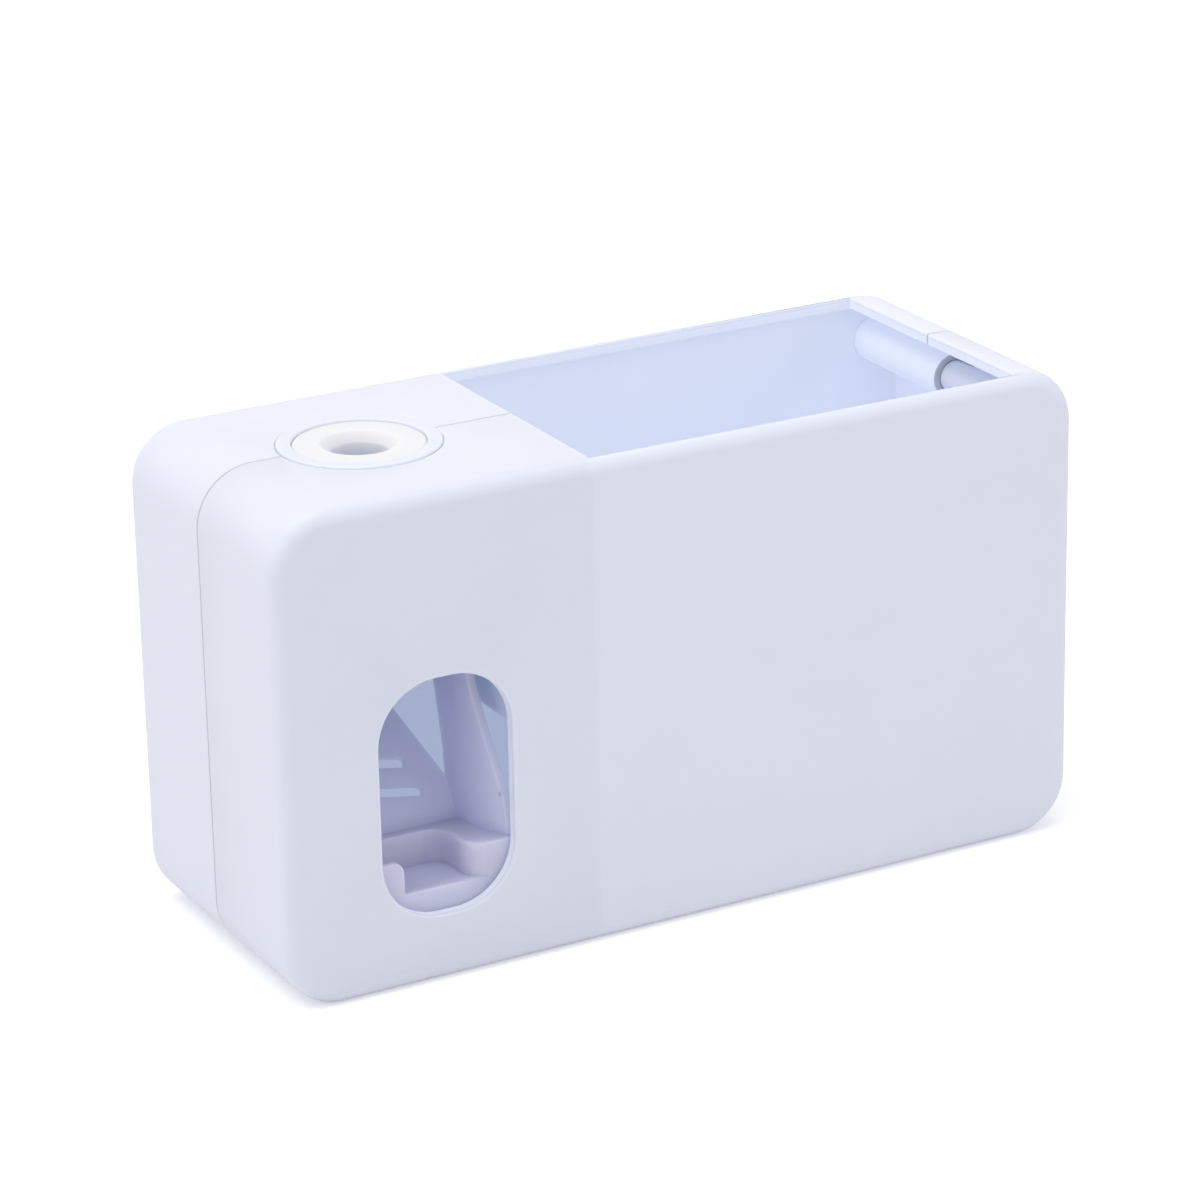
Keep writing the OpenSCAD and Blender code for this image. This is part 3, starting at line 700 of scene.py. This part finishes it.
@dataclass
class Case:
    """The two half shells: softened edges at the port, the bin's rim, the inlet and the seam."""

    width: float = CASE_MM.x
    depth: float = CASE_MM.y
    height: float = CASE_MM.z
    pump_x: float = PUMP_X
    port_half: float = 12.8
    port_low: float = 12.6
    port_high: float = 56.4
    port_round: float = 0.5
    rim_round: float = 0.35
    seam_round: float = 0.1
    recess_round: float = 0.3

    def on_port(self, a: Vector, b: Vector) -> bool:
        """Is this edge the outer edge of the brush port?"""
        return all(
            abs(p.y + self.depth / 2) < ON_FACE_MM
            and abs(p.x - self.pump_x) < self.port_half + 0.1
            and self.port_low - 0.1 < p.z < self.port_high + 0.1
            for p in (a, b)
        )

    def on_rim(self, a: Vector, b: Vector) -> bool:
        """Is this edge part of the bin's rim or of the inlet's, on the top?"""
        return all(p.z > self.height - 0.6 for p in (a, b)) and not self.on_seam(a, b)

    def on_seam(self, a: Vector, b: Vector) -> bool:
        """Does this edge run along the outside of the seam?"""
        along = all(abs(p.y) < 0.07 for p in (a, b))
        return along and all(self._on_outside(p) for p in (a, b))

    def _on_outside(self, p: Vector) -> bool:
        """Is this point on the bottom, the top, a side or a rolled long corner?"""
        flat = p.z < ON_FACE_MM or p.z > self.height - ON_FACE_MM
        return flat or abs(p.x) > self.width / 2 - ON_FACE_MM or self._in_corner(p)

    def _in_corner(self, p: Vector) -> bool:
        """Is this point on one of the rolled long corners?"""
        dx = abs(p.x) - (self.width / 2 - CORNER_MM)
        dz = abs(p.z - self.height / 2) - (self.height / 2 - CORNER_MM)
        return dx > 0 and dz > 0 and abs(math.hypot(dx, dz) - CORNER_MM) < 0.03

    def on_back(self, a: Vector, b: Vector) -> bool:
        """Is this edge the mouth of a screw recess in the back?"""
        return all(abs(p.y - self.depth / 2) < ON_FACE_MM for p in (a, b))

    def build(self, finish: Finishes) -> None:
        """Makes and dresses the two halves.

        Args:
            finish: the finishes.
        """
        front = merged_copy("front_shell", "front_half")
        log.info("port edge: %d", soften(front, self.on_port, self.port_round, 4))
        rear = merged_copy("rear_shell", "rear_half")
        log.info("screw recesses: %d", soften(rear, self.on_back, self.recess_round, 2))
        for half in (front, rear):
            log.info("rim edge: %d", soften(half, self.on_rim, self.rim_round, 3))
            log.info("seam edge: %d", soften(half, self.on_seam, self.seam_round, 2))
            smooth(half)
        dress(front, finish.case, Body.HOUSING, "front_shell")
        dress(rear, finish.case, Body.HOUSING, "rear_shell")
        dress_nodes(finish.steel, "shell_screws")


@dataclass
class Inlet:
    """Collar and silicone grommet in the top, turned with rolled edges."""

    x: float = PUMP_X
    collar_r: float = 14.5
    flange_r: float = 16.5
    flange_low: float = 85.85
    flange_top: float = 87.85
    ledge_z: float = 87.35
    collar_top: float = 90.3
    grommet_r: float = 11.75
    neck_r: float = 8.9
    neck_low: float = 85.75
    grommet_top: float = 89.95
    bore_r: float = 5.2
    mouth_r: float = 6.8
    mouth_depth: float = 1.8

    def collar(self) -> bpy.types.Object:
        """Turns the collar: flange below, rolled lip above, ledge inside."""
        section = rounded([
            (self.neck_r + 0.1, self.flange_low, 0.1), (self.flange_r, self.flange_low, 0.2),
            (self.flange_r, self.flange_top, 0.3), (self.collar_r, self.flange_top, 0.0),
            (self.collar_r, self.collar_top, 0.35), (self.grommet_r + 0.1, self.collar_top, 0.4),
            (self.grommet_r + 0.1, self.ledge_z, 0.0), (self.neck_r + 0.1, self.ledge_z, 0.1),
        ])
        return turned("collar_ring", section, Vector((self.x, 0, 0)), 128)

    def grommet(self) -> bpy.types.Object:
        """Turns the grommet: a soft disc with a flared mouth over its bore."""
        section = rounded([
            (self.bore_r, self.neck_low, 0.15), (self.neck_r, self.neck_low, 0.3),
            (self.neck_r, self.ledge_z + 0.05, 0.0), (self.grommet_r, self.ledge_z + 0.05, 0.1),
            (self.grommet_r, self.grommet_top, 0.5), (self.mouth_r, self.grommet_top, 0.8),
            (self.bore_r, self.grommet_top - self.mouth_depth, 0.6),
        ], 5)
        return turned("grommet_disc", section, Vector((self.x, 0, 0)), 128)

    def build(self, finish: Finishes) -> None:
        """Makes and dresses both rings.

        Args:
            finish: the finishes.
        """
        for piece, stuff, slot, node in (
            (self.collar(), finish.case, Slot.CASE, "inlet_collar"),
            (self.grommet(), finish.silicone, Slot.SILICONE, "inlet_grommet"),
        ):
            smooth(piece, 40)
            dress(piece, stuff, Body.HOUSING, node)


@dataclass
class Lever:
    """The lever behind the port, with the edges that a brush meets rounded as a moulding's are."""

    x: float = PUMP_X
    edge_round: float = 0.3
    arm_round: float = 0.35
    deck_z: float = 23.0
    base_low: float = 10.0
    apron_y: float = -16.6
    arm_in: float = 9.3

    def on_base(self, a: Vector, b: Vector) -> bool:
        """Is this edge on the base's front, on its lip or round the cradle?"""
        return all(self.base_low + 2 < p.z < self.deck_z + 0.05 and p.y < self.apron_y for p in (a, b))

    def on_arm_front(self, a: Vector, b: Vector) -> bool:
        """Is this edge on the front of an arm?"""
        on_arm = all(
            p.z > self.deck_z + 0.05 and p.y < -12.5 and abs(p.x - self.x) > self.arm_in - 0.05
            for p in (a, b)
        )
        return on_arm and max(a.y, b.y) < self.front_limit(min(a.z, b.z))

    def front_limit(self, z: float) -> float:
        """How far back the front edge of an arm can lie at a height."""
        return -17.0 if z < self.deck_z + 12 else -12.5

    def build(self, finish: Finishes) -> None:
        """Makes and dresses the lever, its pin and its roller.

        Args:
            finish: the finishes.
        """
        lever = merged_copy("push_lever", "lever_moulding")
        log.info("base edges: %d", soften(lever, self.on_base, self.edge_round, 3))
        log.info("arm edges: %d", soften(lever, self.on_arm_front, self.arm_round, 3))
        smooth(lever, 35)
        dress(lever, finish.lever, Body.LEVER, "push_lever")
        dress_nodes(finish.steel, "roller_pin")
        dress_nodes(finish.mechanism, "press_roller")


@dataclass
class Hose:
    """The silicone hose: two necks under their clips, and the chamber that the roller squeezes."""

    x: float = PUMP_X
    low_z: float = 57.6
    low_neck_r: float = 4.6
    low_bore_r: float = 3.0
    split_z: float = 60.9
    shoulder_z: float = 63.6
    chamber_r: float = 6.45
    chamber_bore_r: float = 5.4
    chamber_top: float = 73.8
    neck_z: float = 75.0
    neck_r: float = 7.2
    neck_bore_r: float = 5.65
    top_z: float = 82.6
    anvil_y: float = 6.5
    keep: float = 0.68

    def lower_neck(self) -> bpy.types.Object:
        """Turns the small neck on the outlet, with a rolled lower rim."""
        section = rounded([
            (self.low_bore_r, self.low_z, 0.15), (self.low_neck_r, self.low_z, 0.5),
            (self.low_neck_r, self.split_z, 0.2), (self.low_bore_r, self.split_z, 0.15),
        ], 5)
        return turned("hose_lower_neck", section, Vector((self.x, 0, 0)), 64)

    def chamber(self) -> bpy.types.Object:
        """Turns the thin chamber, waisted above and below."""
        section = rounded([
            (self.low_bore_r, self.split_z - 0.3, 0.1), (self.low_neck_r - 0.1, self.split_z - 0.3, 0.2),
            (self.low_neck_r - 0.1, self.split_z + 0.5, 0.8), (self.chamber_r, self.shoulder_z, 1.6),
            (self.chamber_r, self.chamber_top + 0.7, 0.3), (self.chamber_bore_r, self.chamber_top + 0.7, 0.3),
            (self.chamber_bore_r, self.shoulder_z, 1.0), (self.low_bore_r, self.split_z + 0.8, 0.4),
        ], 6)
        return turned("hose_chamber", section, Vector((self.x, 0, 0)), 64)

    def upper_neck(self) -> bpy.types.Object:
        """Turns the wide neck on the spigot, with the shoulder that the chamber hangs from."""
        section = rounded([
            (self.chamber_bore_r, self.chamber_top - 0.2, 0.2),
            (self.chamber_r + 0.05, self.chamber_top - 0.2, 0.2),
            (self.chamber_r + 0.05, self.chamber_top + 0.2, 0.3), (self.neck_r, self.neck_z, 0.6),
            (self.neck_r, self.top_z, 0.6), (self.neck_bore_r, self.top_z, 0.2),
            (self.neck_bore_r, self.neck_z, 0.1), (self.chamber_bore_r, self.neck_z, 0.1),
        ], 5)
        return turned("hose_upper_neck", section, Vector((self.x, 0, 0)), 64)

    def build(self, finish: Finishes) -> None:
        """Makes and dresses the hose; the chamber gets a mesh of its own.

        Args:
            finish: the finishes.
        """
        chamber = self.chamber()
        for piece in (self.upper_neck(), chamber, self.lower_neck()):
            smooth(piece, 50)
            dress(piece, finish.silicone, Body.HOUSING, "pump_hose")
        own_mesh(chamber)
        dress_nodes(finish.silicone, "inlet_valve")
        dress_nodes(finish.steel, "hose_clips")


@dataclass
class ReturnSprings:
    """The two torsion springs on the hinge pin, each with one leg on the lever and one on the frame."""

    x: float = PUMP_X
    wire: float = 0.7
    wound: float = 3.0
    hinge_y: float = -10.5
    hinge_z: float = 78.0

    def one(self, name: str, side: int) -> bpy.types.Object:
        """Copies the node's pair of springs and keeps one.

        Args:
            name: the piece's name.
            side: 1 for the right spring, -1 for the left.

        Returns:
            The new piece.
        """
        piece = merged_copy("return_springs", name)
        bpy.ops.object.mode_set(mode="EDIT")
        bpy.ops.mesh.select_mode(type="VERT")
        bpy.ops.mesh.select_all(action="DESELECT")
        bpy.ops.object.mode_set(mode="OBJECT")
        for vertex in piece.data.vertices:
            vertex.select = (vertex.co.x / MM - self.x) * side < 0
        bpy.ops.object.mode_set(mode="EDIT")
        bpy.ops.mesh.delete(type="VERT")
        bpy.ops.object.mode_set(mode="OBJECT")
        return piece

    def build(self, finish: Finishes) -> None:
        """Makes and dresses both springs, unattached, with their transforms baked into their meshes.

        Args:
            finish: the finishes.
        """
        for name, side in (("right_spring", 1), ("left_spring", -1)):
            spring = self.one(name, side)
            smooth(spring, 50)
            dress(spring, finish.steel, None, "return_springs")
            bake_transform(spring)


@dataclass
class Pump:
    """The frame, the outlet and the lever's hinge."""

    def build(self, finish: Finishes) -> None:
        """Dresses the pump's solids, which keep their shape.

        Args:
            finish: the finishes.
        """
        dress_nodes(finish.mechanism, "pump_frame", "outlet_elbow", "nozzle_cap")
        dress_nodes(finish.silicone, "outlet_valve")
        dress_nodes(finish.steel, "frame_screws", "elbow_screws", "pivot_pin", "pin_clips")


@dataclass(frozen=True)
class SoftLight:
    """A square studio light that faces the dispenser; its place and side are in metres."""

    name: str
    place: tuple[float, float, float]
    side: float
    watts: float
    colour: Colour = (1.0, 1.0, 1.0)

    def hang(self) -> None:
        """Adds the light to the scene."""
        data = bpy.data.lights.new(self.name, "AREA")
        data.shape, data.size, data.energy, data.color = "SQUARE", self.side, self.watts, self.colour
        lamp = bpy.data.objects.new(self.name, data)
        bpy.context.scene.collection.objects.link(lamp)
        lamp.location = self.place
        aim = Vector((0, 0, CASE_MM.z / 2 * MM)) - Vector(self.place)
        lamp.rotation_mode = "QUATERNION"
        lamp.rotation_quaternion = aim.to_track_quat("-Z", "Y")


@dataclass
class Studio:
    """Floor, lights and the camera at the photograph's viewpoint."""

    bounces: int = 12
    lights: tuple[SoftLight, ...] = (
        SoftLight("top_light", (-0.35, 0.0, 1.5), 1.4, 11.8, (1.0, 0.98, 0.95)),
        SoftLight("left_light", (-1.5, -0.1, 0.7), 1.0, 2.5, (1.0, 0.99, 0.98)),
        SoftLight("right_front_light", (1.2, -1.3, 0.8), 1.0, 3.0),
    )
    eye_mm: tuple[float, float, float] = (-378.944, -693.362, 347.065)
    yaw: float = 28.5227
    pitch: float = 20.5283
    roll: float = -1.1742
    focal_px: float = 4681.4
    picture_px: float = 1200.0
    ambient: float = 0.66
    ambient_colour: Colour = (0.93, 0.95, 1.0)
    floor_m: float = 12.0
    floor_colour: Colour = (0.88, 0.88, 0.89)
    floor_lift: float = 0.3

    def camera(self) -> None:
        """Places the camera so that the dispenser lies in the frame as photographed."""
        yaw, pitch, roll = (math.radians(v) for v in (self.yaw, self.pitch, self.roll))
        ahead = Vector((math.sin(yaw) * math.cos(pitch), math.cos(yaw) * math.cos(pitch), -math.sin(pitch)))
        right = ahead.cross(Vector((0, 0, 1))).normalized()
        up = right.cross(ahead)
        right_r = math.cos(roll) * right + math.sin(roll) * up
        up_r = math.cos(roll) * up - math.sin(roll) * right
        data = bpy.data.cameras.new("viewpoint")
        data.sensor_width = 36.0
        data.sensor_fit = "HORIZONTAL"
        data.lens = 36.0 * self.focal_px / self.picture_px
        data.clip_start, data.clip_end = 0.05, 20.0
        cam = bpy.data.objects.new("viewpoint", data)
        bpy.context.scene.collection.objects.link(cam)
        turn = Matrix((right_r, up_r, -ahead)).transposed().to_4x4()
        cam.matrix_world = Matrix.Translation(Vector(self.eye_mm) * MM) @ turn
        bpy.context.scene.camera = cam

    def world(self) -> None:
        """Lights the scene evenly, with a white background where the camera or gloss sees it."""
        world = bpy.data.worlds.new("studio")
        world.use_nodes = True
        bpy.context.scene.world = world
        tree = world.node_tree
        ambient = tree.nodes["Background"]
        ambient.inputs["Color"].default_value = (*self.ambient_colour, 1.0)
        ambient.inputs["Strength"].default_value = self.ambient
        white = tree.nodes.new("ShaderNodeBackground")
        white.inputs["Color"].default_value = (1.0, 1.0, 1.0, 1.0)
        path = tree.nodes.new("ShaderNodeLightPath")
        seen = self._seen(tree, path)
        mix = tree.nodes.new("ShaderNodeMixShader")
        tree.links.new(seen, mix.inputs[0])
        tree.links.new(ambient.outputs[0], mix.inputs[1])
        tree.links.new(white.outputs[0], mix.inputs[2])
        tree.links.new(mix.outputs[0], tree.nodes["World Output"].inputs["Surface"])

    def _seen(self, tree: Tree, path: bpy.types.Node) -> Socket:
        """Adds up the rays that show the background: camera, glossy and transmission."""
        total = path.outputs["Is Camera Ray"]
        for label in ("Is Glossy Ray", "Is Transmission Ray"):
            plus = tree.nodes.new("ShaderNodeMath")
            plus.operation = "ADD"
            plus.use_clamp = True
            tree.links.new(total, plus.inputs[0])
            tree.links.new(path.outputs[label], plus.inputs[1])
            total = plus.outputs[0]
        return total

    def floor(self) -> None:
        """Lays a plain pale floor that keeps the dispenser's shadow."""
        bpy.ops.mesh.primitive_plane_add(size=self.floor_m, location=(0, 0, 0))
        floor = bpy.context.object
        floor.name = "floor"
        made = bpy.data.materials.new("pale_floor")
        made.use_nodes = True
        tree = made.node_tree
        shader = tree.nodes["Principled BSDF"]
        shader.inputs["Base Color"].default_value = (*self.floor_colour, 1.0)
        shader.inputs["Roughness"].default_value = 1.0
        shader.inputs["Specular IOR Level"].default_value = 0.0
        path = tree.nodes.new("ShaderNodeLightPath")
        lift = tree.nodes.new("ShaderNodeEmission")
        lift.inputs["Strength"].default_value = self.floor_lift
        dark = tree.nodes.new("ShaderNodeEmission")
        dark.inputs["Strength"].default_value = 0.0
        pick = tree.nodes.new("ShaderNodeMixShader")
        tree.links.new(path.outputs["Is Camera Ray"], pick.inputs[0])
        tree.links.new(dark.outputs[0], pick.inputs[1])
        tree.links.new(lift.outputs[0], pick.inputs[2])
        both = tree.nodes.new("ShaderNodeAddShader")
        tree.links.new(shader.outputs[0], both.inputs[0])
        tree.links.new(pick.outputs[0], both.inputs[1])
        tree.links.new(both.outputs[0], tree.nodes["Material Output"].inputs["Surface"])
        floor.data.materials.append(made)

    def build(self) -> None:
        """Sets up camera, world, lights and floor."""
        scene = bpy.context.scene
        scene.view_settings.view_transform = "Standard"
        scene.cycles.diffuse_bounces = self.bounces
        self.camera()
        self.world()
        for light in self.lights:
            light.hang()
        self.floor()


def main() -> None:
    """Builds the dispenser's pieces in order."""
    logging.basicConfig(level=logging.INFO, format="%(name)s: %(message)s")
    Studio().build()
    finish = Finishes()
    for part in (Case(), Inlet(), Lever(), Hose(), Pump(), ReturnSprings()):
        part.build(finish)
        log.info("%s done", type(part).__name__)


if __name__ == "__main__":
    main()
